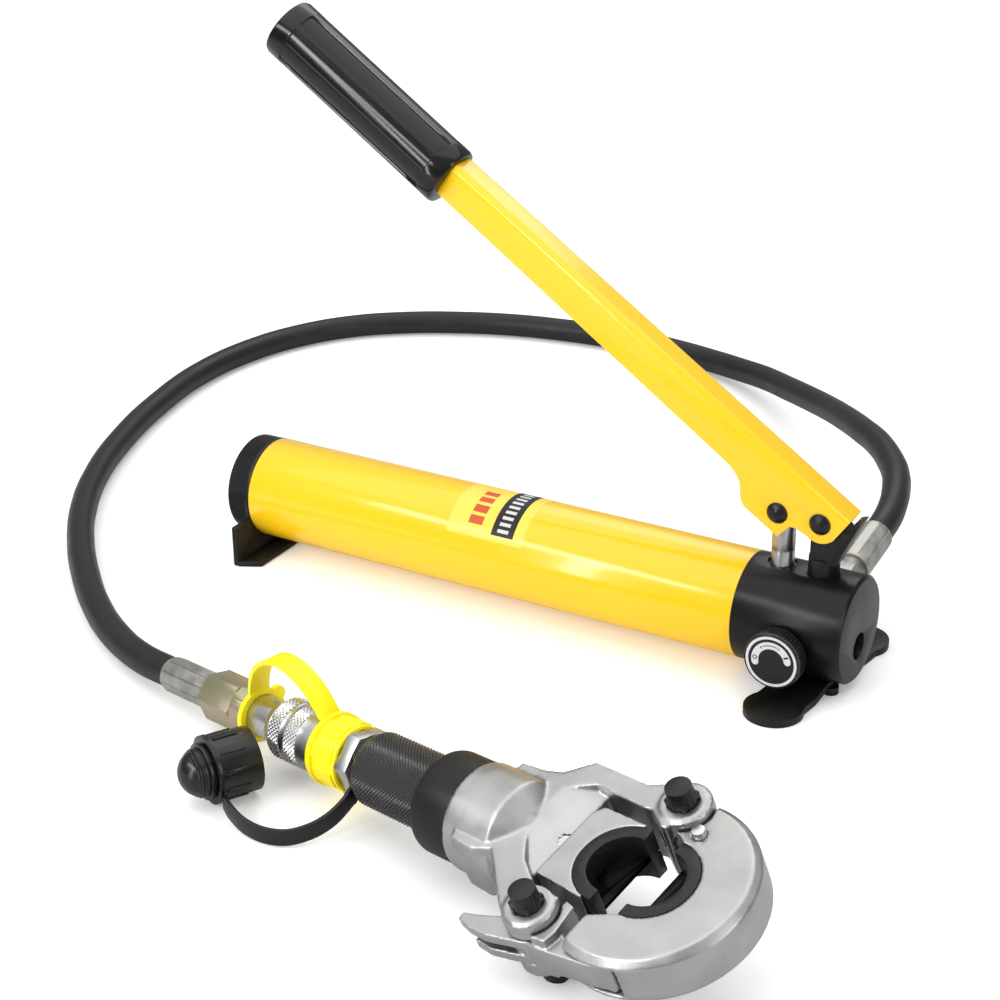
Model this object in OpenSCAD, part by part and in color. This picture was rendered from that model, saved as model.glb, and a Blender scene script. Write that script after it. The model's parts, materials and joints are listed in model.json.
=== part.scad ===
// Hand-operated hydraulic pipe-press set: hand pump, hose, screw coupler and flip-top press head.
// Millimetres. +X runs along the pump barrel towards the valve block, +Z is up, and the origin is
// under the middle of the pump's front foot, on the surface that the set stands on.

/* [Pump] */
// Outside diameter of the barrel and the valve block
pump_d = 57; // [56:0.5:58]
// Height of the barrel's centre line
axis_z = 34; // [33.5:0.5:35]
// Length of the reservoir barrel
barrel_len = 301; // [250:1:320]
// Length of the valve block that shows
block_len = 59; // [58:0.5:60]
// Diameter of the knurled rear end cap
cap_d = 56.6; // [56:0.2:57]
// Thickness of the knurled rear end cap
cap_len = 12.5; // [12:0.5:13]

/* [Lever] */
// Angle of the lever above level when the set is put down
lever_angle = 34.5; // [30:0.5:38]
// Outside width of the lever channel
lever_w = 18.2; // [18:0.1:19]
// Sheet thickness of the lever
lever_t = 2.5; // [2:0.1:2.6]
// Diameter of the hand grip
grip_d = 33; // [30:1:36]
// Length of the hand grip
grip_len = 121; // [110:1:125]
// Diameter of the piston rod
rod_d = 12; // [11.5:0.1:12]

/* [Hose] */
// Outside diameter of the hose
hose_d = 16; // [15:0.5:16]
// Sides of the hose tube
hose_sides = 10; // [8:2:12]

/* [Press head] */
// Outside diameter of the dies
die_d = 42; // [41:0.5:42]
// Bore of the fitted dies
die_bore = 30; // [16:1:31]
// Height of the dies, jaw and C-shaped head
die_h = 24; // [22:1:24]
// Gap between the die faces with the ram home
open_gap = 15.7; // [15.5:0.1:16]
// Outside radius of the C-shaped head
c_r = 45.5; // [45:0.5:46]
// Outside radius of the head body
body_r = 25; // [24:0.5:25.5]
// Radius of the knurled hydraulic cylinder
cyl_r = 18; // [17.5:0.5:18.5]
// Radius of the two head pins
pin_r = 6; // [5.5:0.1:6]

/* [Hidden] */
$fn = 64;
// Clearance between fixed parts, and between sliding parts
gap = 0.05;
run = 0.06;
pump_r = pump_d / 2;
block_front = 23;
block_back = block_front - block_len;
barrel_back = block_back - barrel_len;
barrel_bore_r = pump_r - 3.5;
spigot_r = barrel_bore_r - gap;
spigot_len = 18;
spigot_back = block_back - spigot_len;
foot_web_t = 3;
cap_front = barrel_back - foot_web_t;
cap_back = cap_front - cap_len;
seal_wire = 1.4;
seal_r = spigot_r - seal_wire;
tie_r = 4;
tie_front = spigot_back + 12;
nut_recess = 8;
breather_z = axis_z + 16;
breather_r = 5;
// Piston, gland and pivots
rod_r = rod_d / 2;
rod_x = -20.4;
rod_bottom = 38;
bore_floor = 22;
gland_r = 7.5;
gland_z = 46;
gland_top = 61;
fulcrum_x = 2;
fulcrum_z = 92;
piston_pin_x = -21;
piston_pin_z = 93;
fulcrum_pin_r = 3.5;
piston_pin_r = 3;
boss_r = 8;
boss_floor = 59;
boss_top = 71;
stud_r = 6;
stud_floor = 47;
tang_half = 6.2;
tang_r = 5.6;
// Release valve, relief valve, ports and drillings
knob_x = -7.6;
knob_z = 26.9;
knob_r = 15.5;
knob_back = -30.5;
knob_front = -39.5;
dial_r = 14;
spindle_r = 5;
relief_x = -22;
relief_z = 28;
relief_r = 4.5;
gauge_z = 24.9;
gauge_r = 7.25;
gauge_depth = 16;
drill_r = 1.6;
suction_z = 22;
suction_r = 4;
port_x = -1.2;
port_tilt = 9;
port_r = 7;
port_hex_back = 28.8;
ferrule_from = 50;
ferrule_to = 84;
ferrule_r = 9.6;
hex_nut_af = 23;
// Feet
foot_turn = -7.1;
foot_mid = [1.5, 1.7];
foot_lobe_r = 15.3;
foot_lobe_y = 44.5;
foot_waist = 27;
foot_t = 4;
foot_arch = 3;
foot_top = foot_t + foot_arch;
rear_foot_half = 41.5;
rear_foot_h = 24;
rear_flange = 15.5;
foot_screw_x = [-6, 10];
// Lever
lever_half = lever_w / 2;
lever_inner = lever_half - lever_t;
lever_top = 8.5;
lever_bottom = -10.6;
lever_corner = 4;
lever_nose = 10.2;
lever_rise = 0.8;
lobe_r = 10.4;
lever_straight = 262;
grip_from = 259;
grip_v = -3.8;
grip_flutes = 8;
lever_tang_r = 7.9;
// Hose route: centre line from the pump's ferrule to the coupler's ferrule
hose_r = hose_d / 2;
hose_route = [
    [-1.2, 83.4, 47.25], [-1.5, 98, 49.3], [-4, 114, 51], [-9, 132, 52], [-16, 150, 52.4],
    [-26, 168, 52], [-43, 193, 50], [-62, 216.5, 46], [-81, 239.5, 41], [-101, 263, 35],
    [-125, 288, 28.5], [-149, 311, 22.5], [-176, 335, 16.5], [-203, 352, 12], [-230, 364, 9.4],
    [-258, 371.5, 8.4], [-290, 375, 8.2], [-322, 374, 8.2], [-353, 370, 8.2], [-383, 363.5, 8.2],
    [-424, 348, 8.2], [-461, 327, 8.2], [-490, 301.5, 8.2], [-511.5, 268, 8.2], [-525, 226, 8.2],
    [-528.5, 174, 8.2], [-519.5, 117, 8.2], [-501.5, 56, 8.2], [-479, 4, 8.2], [-453.5, -38, 8.2],
    [-425, -74, 8.2], [-394, -106, 8.2], [-365, -131.5, 8.2], [-335, -152.5, 8.9], [-304, -168.3, 10.7],
    [-276.5, -176.5, 12.95]
];
// Press head placing, and stations along its axis, all measured from the fixed die's face
head_at = [41, -264, 40.6];
head_turn = [19.3, -4.8, -15.4];
hose_end = -330;
nut_from = -293;
nut_to = -269;
ring_from = -259.5;
ring_to = -256.5;
collar_from = -242;
collar_to = -204.5;
sleeve_from = -203;
sleeve_to = -184.5;
hex_from = -184.3;
hex_to = -174;
tether_gap = 2;
neck_r = 12;
cyl_to = -127;
rubber_to = -102;
rubber_r = 24;
cyl_neck_r = 20;
cyl_bore_r = 13;
socket_r = 10.5;
plug_r = 10.2;
die_r = die_d / 2;
die_half = die_h / 2;
hinge_at = [-11, 36.7];
latch_at = [-34, -37];
ear_in = 7.2;
ear_out = 15;
ear_boss = 16;
ear_boss_r = 12.3;
lug_half = 6.8;
lug_r = 12;
pin_low = -27;
ram_r = 10;
piston_back = -116;
piston_front = -106;
jaw_back = -47;
wall_front = -65.5;
shoulder_half = 9.4;
wall_back = -78;
spring_wire = 1.6;
button_at = [4, 27.5];

// ---- helpers ----

function arc(c, r, a0, a1, n) = [for (i = [0 : n]) c + r * [cos(a0 + (a1 - a0) * i / n), sin(a0 + (a1 - a0) * i / n)]];

function unit(v) = v / norm(v);

function path_dir(p, i) = unit(p[min(i + 1, len(p) - 1)] - p[max(i - 1, 0)]);

// One section point placed square to the path, with its second axis towards up
function placed(p, dir, s, up) = let (side = unit(cross(up, dir))) p + s[0] * side + s[1] * cross(dir, side);

// A path through the given points with n steps between neighbours
function smooth_path(p, n) = let (last = len(p) - 1) concat(
    [for (i = [0 : last - 1]) for (k = [0 : n - 1]) let (
        a = p[max(i - 1, 0)], b = p[i], c = p[i + 1], d = p[min(i + 2, last)], t = k / n
    ) 0.5 * (2 * b + (c - a) * t + (2 * a - 5 * b + 4 * c - d) * t * t + (3 * b - a - 3 * c + d) * t * t * t)],
    [p[last]]
);

function round_section(r, n) = [for (k = [0 : n - 1]) r * [cos(360 * k / n), sin(360 * k / n)]];

module sweep(path, section, up = [0, 0, 1]) {
    n = len(section);
    m = len(path);
    points = [for (i = [0 : m - 1]) for (s = section) placed(path[i], path_dir(path, i), s, up)];
    sides = [for (i = [0 : m - 2]) for (k = [0 : n - 1]) for (half = [0, 1]) let (next = (k + 1) % n)
        half == 0 ? [i * n + k, (i + 1) * n + next, i * n + next] : [i * n + k, (i + 1) * n + k, (i + 1) * n + next]];
    start = [[for (k = [0 : n - 1]) k]];
    finish = [[for (k = [n - 1 : -1 : 0]) (m - 1) * n + k]];
    polyhedron(points = points, faces = concat(sides, start, finish), convexity = 10);
}

module tube(r_out, r_in, h) {
    difference() {
        cylinder(r = r_out, h = h);
        translate([0, 0, -1]) cylinder(r = r_in, h = h + 2);
    }
}

module hex_bar(af, h) {
    cylinder(d = af / cos(30), h = h, $fn = 6);
}

module o_ring(r, wire) {
    rotate_extrude() translate([r, 0]) circle(r = wire, $fn = 24);
}

module coil(r, wire, turns, length) {
    steps = 12;
    path = [for (i = [0 : turns * steps])
        [r * cos(360 * i / steps), r * sin(360 * i / steps), wire + (length - 2 * wire) * i / (turns * steps)]];
    sweep(path, round_section(wire, 6));
}

// Places what it holds along the pump's axis, from station x
module along_pump(x, z = axis_z) {
    translate([x, 0, z]) rotate([0, 90, 0]) children();
}

// Places what it holds along +Y
module along_y(x, y, z) {
    translate([x, y, z]) rotate([-90, 0, 0]) children();
}

module along_port(r) {
    translate([port_x, 0, axis_z]) rotate([port_tilt - 90, 0, 0]) translate([0, 0, r]) children();
}

// A plate standing in the XZ plane, from y0 to y1
module standing(y0, y1) {
    translate([0, y1, 0]) rotate([90, 0, 0]) linear_extrude(y1 - y0) children();
}

// The lever's own frame: origin at the fulcrum, handle towards -X, top towards +Z
module on_lever() {
    translate([fulcrum_x, 0, fulcrum_z]) rotate([0, lever_angle, 0]) children();
}

// The press head's frame: X towards the nose, Y towards the hinge, Z along the pins
module on_head() {
    translate(head_at) rotate(head_turn) children();
}

// Places what it holds along the head's axis, from station x
module along_head(x) {
    on_head() translate([x, 0, 0]) rotate([0, 90, 0]) children();
}

// ---- pump ----

module pump_block() {
    chamfer = 1.5;
    color("#1b1b1d") difference() {
        union() {
            along_pump(block_back) cylinder(r = pump_r, h = block_len - chamfer);
            along_pump(block_front - chamfer) cylinder(r1 = pump_r, r2 = pump_r - chamfer, h = chamfer);
            along_pump(spigot_back) cylinder(r = spigot_r, h = spigot_len + 1);
        }
        along_pump(spigot_back + 6) tube(spigot_r + 1, seal_r - seal_wire - gap, 2 * seal_wire + 0.4);
        along_pump(spigot_back - 1) cylinder(r = tie_r + gap, h = tie_front - spigot_back + 1.5);
        // Piston bore, gland seat and the stud hole of the fulcrum bracket
        translate([rod_x, 0, bore_floor]) cylinder(r = rod_r + run, h = pump_d);
        translate([rod_x, 0, gland_z - 4]) cylinder(r = gland_r + gap, h = pump_d);
        translate([fulcrum_x, 0, boss_floor]) cylinder(r = boss_r + gap, h = pump_d);
        translate([fulcrum_x, 0, stud_floor]) cylinder(r = stud_r + gap, h = pump_d);
        // Release valve
        along_y(knob_x, -pump_r - 1, knob_z) cylinder(r = spindle_r + run, h = pump_r - 12);
        along_y(knob_x, -14, knob_z) cylinder(r = 2.9, h = 6);
        along_y(knob_x, -9, knob_z) cylinder(r = drill_r, h = 9);
        // Relief valve
        along_y(relief_x, 12, relief_z) cylinder(r = relief_r + gap, h = pump_r);
        along_y(relief_x, 0, relief_z) cylinder(r = drill_r, h = 13);
        // Gauge port with its delivery drilling
        along_pump(block_front - gauge_depth, gauge_z) cylinder(r = gauge_r, h = gauge_depth + 1);
        along_pump(rod_x, gauge_z) cylinder(r = drill_r, h = 24);
        along_pump(-2, gauge_z) cylinder(r = 3.4, h = 10);
        // Suction drilling
        along_pump(spigot_back - 1, suction_z) cylinder(r = suction_r + gap, h = 20);
        along_pump(spigot_back + 15, suction_z + 2) cylinder(r = drill_r, h = 19);
        // Outlet port
        along_port(14) cylinder(r = port_r + gap, h = pump_r);
        along_port(0) cylinder(r = drill_r, h = 15);
        // Seat and screw holes of the front foot
        translate([-18, -9.2, 0]) cube([36, 18.4, foot_top + gap]);
        for (x = foot_screw_x) translate([x, 0, 0]) cylinder(r = 2.5 + gap, h = 16);
    }
}

module reservoir_barrel() {
    color("#ffd21a") along_pump(barrel_back) tube(pump_r, barrel_bore_r, barrel_len);
}

module rear_end_cap() {
    edge = 1.2;
    color("#222222") difference() {
        union() {
            along_pump(cap_back) cylinder(r1 = cap_d / 2 - edge, r2 = cap_d / 2, h = edge);
            along_pump(cap_back + edge) cylinder(d = cap_d, h = cap_len - 2 * edge);
            along_pump(cap_front - edge) cylinder(r1 = cap_d / 2, r2 = cap_d / 2 - edge, h = edge);
            along_pump(cap_front - 1) cylinder(r = spigot_r, h = spigot_len + 1);
        }
        along_pump(cap_front + 10) tube(spigot_r + 1, seal_r - seal_wire - gap, 2 * seal_wire + 0.4);
        along_pump(cap_back - 1) cylinder(r = tie_r + gap, h = cap_len + spigot_len + 2);
        along_pump(cap_back - 1) cylinder(r = 9, h = nut_recess + 1);
        along_pump(cap_back - 1, breather_z) cylinder(r = breather_r + gap, h = cap_len + spigot_len + 2);
    }
}

module block_seal_ring() {
    color("#111111") along_pump(spigot_back + 7.6) o_ring(seal_r, seal_wire - gap);
}

module cap_seal_ring() {
    color("#111111") along_pump(cap_front + 11.6) o_ring(seal_r, seal_wire - gap);
}

module tie_rod() {
    color("silver") along_pump(cap_back + 1) cylinder(r = tie_r, h = tie_front - cap_back - 1);
}

module tie_rod_nut() {
    color("silver") along_pump(cap_back + 1.2) difference() {
        hex_bar(13, nut_recess - 1.3);
        translate([0, 0, -1]) cylinder(r = tie_r + gap, h = nut_recess + 2);
    }
}

module breather_plug() {
    color("#161616") {
        along_pump(cap_back + 0.5, breather_z) cylinder(r = breather_r, h = cap_len + 12);
        along_pump(cap_back - 2.4, breather_z) cylinder(r1 = 6.2, r2 = 7.4, h = 2.3);
        along_pump(cap_back - 0.2, breather_z) cylinder(r = breather_r, h = 1);
    }
}

module suction_strainer() {
    color("#b9bcc0") {
        along_pump(spigot_back - 24, suction_z) cylinder(r = 6.5, h = 23.8);
        along_pump(spigot_back - 1, suction_z) cylinder(r = suction_r, h = 11);
    }
}

module suction_ball() {
    color("silver") translate([spigot_back + 15, 0, suction_z]) sphere(r = 3.2);
}

module delivery_ball() {
    color("silver") translate([1.6, 0, gauge_z]) sphere(r = 3);
}

module foot_outline() {
    for (side = [-1, 1]) translate([0, side * foot_lobe_y]) circle(r = foot_lobe_r);
    square([foot_waist, 2 * foot_lobe_y], center = true);
}

// The plate's arched edge: flat wings with a raised middle
module foot_arch_edge() {
    reach = foot_lobe_y + foot_lobe_r + 1;
    polygon([
        [-reach, 0], [-26, 0], [-15, foot_arch], [15, foot_arch], [26, 0], [reach, 0],
        [reach, foot_t], [25, foot_t], [14, foot_top], [-14, foot_top], [-25, foot_t], [-reach, foot_t]
    ]);
}

module front_foot() {
    wide = 2 * foot_lobe_r + 2;
    color("#1f1f20") difference() {
        union() {
            translate([foot_mid[0], foot_mid[1], 0]) rotate([0, 0, foot_turn]) intersection() {
                linear_extrude(foot_top) foot_outline();
                translate([-wide / 2, 0, 0]) rotate([90, 0, 90]) linear_extrude(wide) foot_arch_edge();
            }
            // Rib between the screws that bears on the floor at the middle of the arch
            translate([-1.2, -8, 0]) cube([6.4, 16, foot_arch + 1]);
            translate([13, -9.2, 0]) cylinder(r = 4.2, h = foot_arch + 1);
        }
        for (x = foot_screw_x) {
            translate([x, 0, -1]) cylinder(r = 2.5 + gap, h = foot_top + 2);
            translate([x, 0, -1]) cylinder(r = 4.6, h = foot_arch + 2.4);
        }
    }
}

module front_foot_screws() {
    color("#3a3a3c") for (x = foot_screw_x) {
        difference() {
            translate([x, 0, foot_arch - 1.9]) cylinder(r = 4.4, h = 3.2);
            translate([x, 0, foot_arch - 3]) cylinder(d = 4.6, h = 2.8, $fn = 6);
        }
        translate([x, 0, foot_arch + 1]) cylinder(r = 2.5, h = 11);
    }
}

module rear_foot() {
    color("#1f1f20") {
        difference() {
            union() {
                along_pump(cap_front) cylinder(r = pump_r - 0.1, h = foot_web_t);
                translate([cap_front, -rear_foot_half, 0]) cube([foot_web_t, 2 * rear_foot_half, rear_foot_h]);
            }
            along_pump(cap_front - 1) cylinder(r = spigot_r + gap, h = foot_web_t + 2);
        }
        translate([cap_front, 0, 0]) linear_extrude(3) polygon([
            [0, -rear_foot_half], [4, -rear_foot_half], [rear_flange, 6 - rear_foot_half],
            [rear_flange, rear_foot_half - 6], [4, rear_foot_half], [0, rear_foot_half]
        ]);
    }
}

// ---- lever and piston ----

// Side outline of the fulcrum bracket's tang, around the fulcrum pin
module tang_outline() {
    polygon(concat(
        [[-tang_r, -23], [-tang_r, 0]], arc([0, 0], tang_r, 180, 48, 12),
        [[11, -2.5], [12.9, -4.3], [15.9, -1], [16, 1.6], [19.8, 2.8], [8.2, -22], [8.2, -23]]
    ));
}

module fulcrum_bracket() {
    color("#1d1d1e") difference() {
        union() {
            translate([fulcrum_x, 0, stud_floor + 1]) cylinder(r = stud_r, h = 20);
            translate([fulcrum_x, 0, boss_floor + 0.2]) cylinder(r = boss_r, h = boss_top - boss_floor - 0.2);
            translate([fulcrum_x, 0, fulcrum_z]) standing(-tang_half, tang_half) tang_outline();
        }
        along_y(fulcrum_x, -20, fulcrum_z) cylinder(r = fulcrum_pin_r + 0.02, h = 40);
    }
}

// A pin across the lever with a domed rivet head at each end
module rivet_pin(r, reach) {
    head_r = 5.6;
    dome_r = 7.4;
    cylinder(r = r, h = 2 * reach, center = true);
    for (side = [0, 1]) mirror([0, 0, side]) translate([0, 0, reach - 0.1]) intersection() {
        cylinder(r = head_r, h = 3);
        translate([0, 0, 2.9 - dome_r]) sphere(r = dome_r);
    }
}

module fulcrum_pin() {
    color("#2a2a2d") translate([fulcrum_x, 0, fulcrum_z]) rotate([90, 0, 0])
        rivet_pin(fulcrum_pin_r, lever_half + 0.35);
}

module piston_pin() {
    color("#2a2a2d") translate([piston_pin_x, 0, piston_pin_z]) rotate([90, 0, 0])
        rivet_pin(piston_pin_r, lever_half + 0.15);
}

module lever_outline() {
    polygon(concat(
        [[-lever_straight, 16], [lever_nose, 16]],
        arc([0, 0], lobe_r, -10, -94, 10),
        [[-7.9, -11.5], [-10.5, -13.4], [-11.7, -22.4], [-13, -23.2]],
        arc([-31.5, -13.2], 10, -95, -137, 5),
        arc([-56, -33.6], 23, 58, 90, 5),
        [[-lever_straight, lever_bottom]]
    ));
}

// Cross-section of the pressed channel: rounded top corners, open below
module channel_section() {
    depth = 26;
    difference() {
        union() {
            translate([-lever_half, -depth]) square([lever_w, depth + lever_top - lever_corner]);
            translate([-lever_half + lever_corner, 0]) square([lever_w - 2 * lever_corner, lever_top]);
            for (side = [-1, 1]) translate([side * (lever_half - lever_corner), lever_top - lever_corner])
                circle(r = lever_corner);
        }
        translate([-lever_inner, -depth - 1]) square([2 * lever_inner, depth + 1 + lever_top - lever_t]);
    }
}

module lever_arm() {
    end_plate = 4;
    color("#ffd21a") difference() {
        union() {
            on_lever() intersection() {
                standing(-lever_half, lever_half) lever_outline();
                translate([-lever_straight, 0, 0]) rotate([0, -lever_rise, 0]) rotate([90, 0, 90])
                    linear_extrude(lever_straight + lever_nose + 2) channel_section();
            }
            on_lever() translate([-lever_straight, -lever_inner - 0.5, lever_bottom + 0.4])
                cube([end_plate, 2 * lever_inner + 1, lever_top - lever_bottom - 1]);
            on_lever() translate([-grip_from - grip_len + 8, 0, grip_v]) rotate([0, 90, 0])
                cylinder(r = lever_tang_r, h = grip_len - 6);
        }
        along_y(fulcrum_x, -20, fulcrum_z) cylinder(r = fulcrum_pin_r + run, h = 40);
        along_y(piston_pin_x, -20, piston_pin_z) cylinder(r = piston_pin_r + gap, h = 40);
    }
}

module lever_grip() {
    edge = 1.5;
    collar = 11;
    r = grip_d / 2;
    color("#18181a") on_lever() translate([-grip_from - grip_len, 0, grip_v]) rotate([0, 90, 0]) difference() {
        union() {
            cylinder(r1 = r - edge, r2 = r, h = edge);
            translate([0, 0, edge]) cylinder(r = r, h = grip_len - 2 * edge);
            translate([0, 0, grip_len - edge]) cylinder(r1 = r, r2 = r - edge, h = edge);
        }
        translate([0, 0, 7.5]) cylinder(r = lever_tang_r + gap, h = grip_len);
        translate([-(lever_top - grip_v) - 0.4, -lever_half - 0.3, grip_len - 3.4])
            cube([lever_top - lever_bottom + 1, lever_w + 0.6, 10]);
        for (k = [0 : grip_flutes - 1]) rotate([0, 0, 360 * k / grip_flutes])
            translate([r + 11.1, 0, collar]) cylinder(r = 12, h = grip_len - 2 * collar);
    }
}

module piston_rod() {
    head_top = piston_pin_z + 6.5;
    slot_r = piston_pin_r + 0.4;
    slot_from = piston_pin_x - 0.15;
    slot_len = 1.85;
    color("#c4c6c9") difference() {
        union() {
            translate([rod_x, 0, rod_bottom]) cylinder(r = rod_r, h = head_top - rod_bottom - 1.5);
            translate([rod_x, 0, head_top - 1.5]) cylinder(r1 = rod_r, r2 = rod_r - 1.5, h = 1.5);
        }
        translate([rod_x, 0, 70]) tube(rod_r + 1, rod_r - 0.4, 0.6);
        for (x = [0, slot_len]) along_y(slot_from + x, -20, piston_pin_z) cylinder(r = slot_r, h = 40);
        translate([slot_from, -20, piston_pin_z - slot_r]) cube([slot_len, 40, 2 * slot_r]);
    }
}

module rod_gland() {
    color("#303033") translate([rod_x, 0, gland_z]) tube(gland_r, rod_r + run, gland_top - gland_z);
}

module rod_seal() {
    color("#111111") translate([rod_x, 0, gland_z - 3.9]) tube(gland_r, rod_r + run, 3.8);
}

// ---- valves ----

module release_knob() {
    edge = 0.6;
    depth = knob_back - knob_front;
    color("#1c1c1e") difference() {
        union() {
            along_y(knob_x, knob_front - 0.6, knob_z) cylinder(r = dial_r + 0.5, h = 1);
            along_y(knob_x, knob_front, knob_z) cylinder(r1 = knob_r - edge, r2 = knob_r, h = edge);
            along_y(knob_x, knob_front + edge, knob_z) cylinder(r = knob_r, h = depth - 2 * edge);
            along_y(knob_x, knob_back - edge, knob_z) cylinder(r1 = knob_r, r2 = knob_r - edge, h = edge);
        }
        along_y(knob_x, knob_front + 1.5, knob_z) cylinder(r = spindle_r + 0.02, h = depth);
        along_y(knob_x, knob_front - 1, knob_z) cylinder(r = dial_r, h = 0.8);
    }
}

module release_dial() {
    color("#2b2b2d") along_y(knob_x, knob_front - 0.5, knob_z) cylinder(r = dial_r - gap, h = 0.28);
}

module release_spindle() {
    color("#b0b3b7") along_y(knob_x, knob_front + 1.7, knob_z) cylinder(r = spindle_r, h = 22.4);
}

module release_ball() {
    color("silver") translate([knob_x, -10.9, knob_z]) sphere(r = 2.5);
}

module relief_ball() {
    color("silver") translate([relief_x, 14.4, relief_z]) sphere(r = 2.3);
}

module relief_spring() {
    color("#8f9296") along_y(relief_x, 16.9, relief_z) coil(2.6, 0.5, 3, 4);
}

module relief_screw() {
    color("#3a3a3c") difference() {
        along_y(relief_x, 21.2, relief_z) cylinder(r = relief_r, h = 5.6);
        along_y(relief_x, 24, relief_z) cylinder(d = 5.2, h = 4, $fn = 6);
    }
}

// ---- hose ends and hose ----

// A crimped hose ferrule: a round shell with pressed flats
module ferrule(h) {
    cylinder(r = ferrule_r, h = h, $fn = 10);
}

module outlet_nut() {
    color("#b9b7ad") difference() {
        union() {
            along_port(14.5) cylinder(r = port_r, h = 16);
            along_port(port_hex_back + 1) hex_bar(19, 12);
            along_port(port_hex_back + 12) cylinder(r = 7.6, h = ferrule_from - port_hex_back - 12 - gap);
        }
        along_port(14) cylinder(r = 3, h = 40);
    }
}

module pump_ferrule() {
    color("#a9a79d") along_port(ferrule_from) ferrule(ferrule_to - ferrule_from);
}

module hose() {
    color("#2c2c2e") sweep(hose_route, round_section(hose_r, hose_sides));
}

module coupler_ferrule() {
    color("#a9a79d") along_head(hose_end) ferrule(nut_from - hose_end - gap);
}

module hose_nut() {
    color("#b5a98a") {
        along_head(nut_from) hex_bar(hex_nut_af, nut_to - nut_from);
        along_head(nut_to) cylinder(r1 = 12, r2 = socket_r + 1, h = ring_from - nut_to - gap);
    }
}

// ---- quick coupler ----

module coupler_socket() {
    front = -224;
    color("#c9cbce") along_head(ring_from + gap) difference() {
        cylinder(r = socket_r, h = front - ring_from);
        translate([0, 0, 6]) cylinder(r = 6, h = 60);
        translate([0, 0, -1]) cylinder(r = 3, h = 20);
    }
}

module socket_poppet() {
    color("silver") along_head(-250) {
        cylinder(r = 2, h = 12);
        translate([0, 0, 12]) cylinder(r1 = 5, r2 = 2, h = 6);
    }
}

module lock_collar() {
    nose = 7;
    r_nose = 11.4;
    r = 15.8;
    color("#cfd1d4") along_head(collar_from) difference() {
        union() {
            cylinder(r1 = r_nose, r2 = r - 0.6, h = nose);
            translate([0, 0, nose]) cylinder(r = r - 0.6, h = collar_to - collar_from - nose);
            translate([0, 0, nose]) cylinder(r = r, h = 8);
            translate([0, 0, nose + 12]) cylinder(r = r, h = 9);
            translate([0, 0, collar_to - collar_from - 5]) cylinder(r = r, h = 5);
        }
        translate([0, 0, -1]) cylinder(r = socket_r + run, h = 60);
        translate([0, 0, 12]) cylinder(r = socket_r + 0.6, h = 60);
    }
}

module coupler_plug() {
    back = -221;
    color("#c3c5c8") along_head(0) difference() {
        union() {
            translate([0, 0, back]) cylinder(r = plug_r, h = hex_from - back + 1);
            translate([0, 0, hex_from]) hex_bar(29, hex_to - hex_from - tether_gap);
            translate([0, 0, hex_to - tether_gap - 1]) cylinder(r = neck_r, h = tether_gap + 1 - gap);
            translate([0, 0, hex_to - 1]) cylinder(r = 8, h = 13);
        }
        translate([0, 0, back - 1]) cylinder(r = 6, h = 26);
        translate([0, 0, back]) cylinder(r = 3, h = 80);
    }
}

module plug_poppet() {
    color("silver") along_head(-219) {
        cylinder(r1 = 2, r2 = 5, h = 6);
        translate([0, 0, 6]) cylinder(r = 2, h = 10);
    }
}

module yellow_cap() {
    flange_r = 17.9;
    sleeve_r = 16.2;
    panel_r = 17;
    ribs = 8;
    flange_t = 3;
    color("#ffe600") along_head(sleeve_from) difference() {
        union() {
            cylinder(r = flange_r, h = flange_t);
            cylinder(r = sleeve_r, h = sleeve_to - sleeve_from);
            for (k = [0 : ribs - 1]) rotate([0, 0, 360 * k / ribs]) intersection() {
                cylinder(r = panel_r, h = sleeve_to - sleeve_from - 2);
                translate([0, -4, 0]) cube([20, 8, 20]);
            }
        }
        translate([0, 0, -1]) cylinder(r = plug_r + gap, h = 30);
        translate([0, 0, 3]) cylinder(r = 14.5, h = 30);
    }
}

function bezier(p, t) = pow(1 - t, 3) * p[0] + 3 * pow(1 - t, 2) * t * p[1] + 3 * (1 - t) * t * t * p[2]
    + pow(t, 3) * p[3];

// Arched band between the tether ring and the yellow cap's flange
module strap_band() {
    steps = 16;
    thick = 1.6;
    outer = [[-258.8, 11.5], [-257.5, 43], [-221, 45.5], [-203.1, 16.4]];
    inner = [[-258.8 + thick, 11.5], [-254.7, 40.3], [-222.8, 42.8], [-203.1 - thick, 16.4]];
    polygon(concat(
        [for (i = [0 : steps]) bezier(outer, i / steps)],
        [for (i = [steps : -1 : 0]) bezier(inner, i / steps)]
    ));
}

module yellow_strap() {
    band_w = 12;
    color("#ffe600") {
        along_head(ring_from + 0.1) difference() {
            union() {
                cylinder(r = 13.7, h = ring_to - ring_from - 0.1);
                rotate([0, 0, 106]) translate([13, 0, 0]) cylinder(r = 4, h = ring_to - ring_from - 0.1);
            }
            translate([0, 0, -1]) cylinder(r = socket_r + gap, h = 10);
        }
        on_head() rotate([-head_turn[0], 0, 0]) standing(-band_w / 2, band_w / 2) strap_band();
    }
}

// Frame of the black cap lying on its side: Z runs from its domed plug towards its open cup
module on_black_cap() {
    translate([-208, -259.2, 16.8]) rotate([0, 90, 60.5]) children();
}

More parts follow.
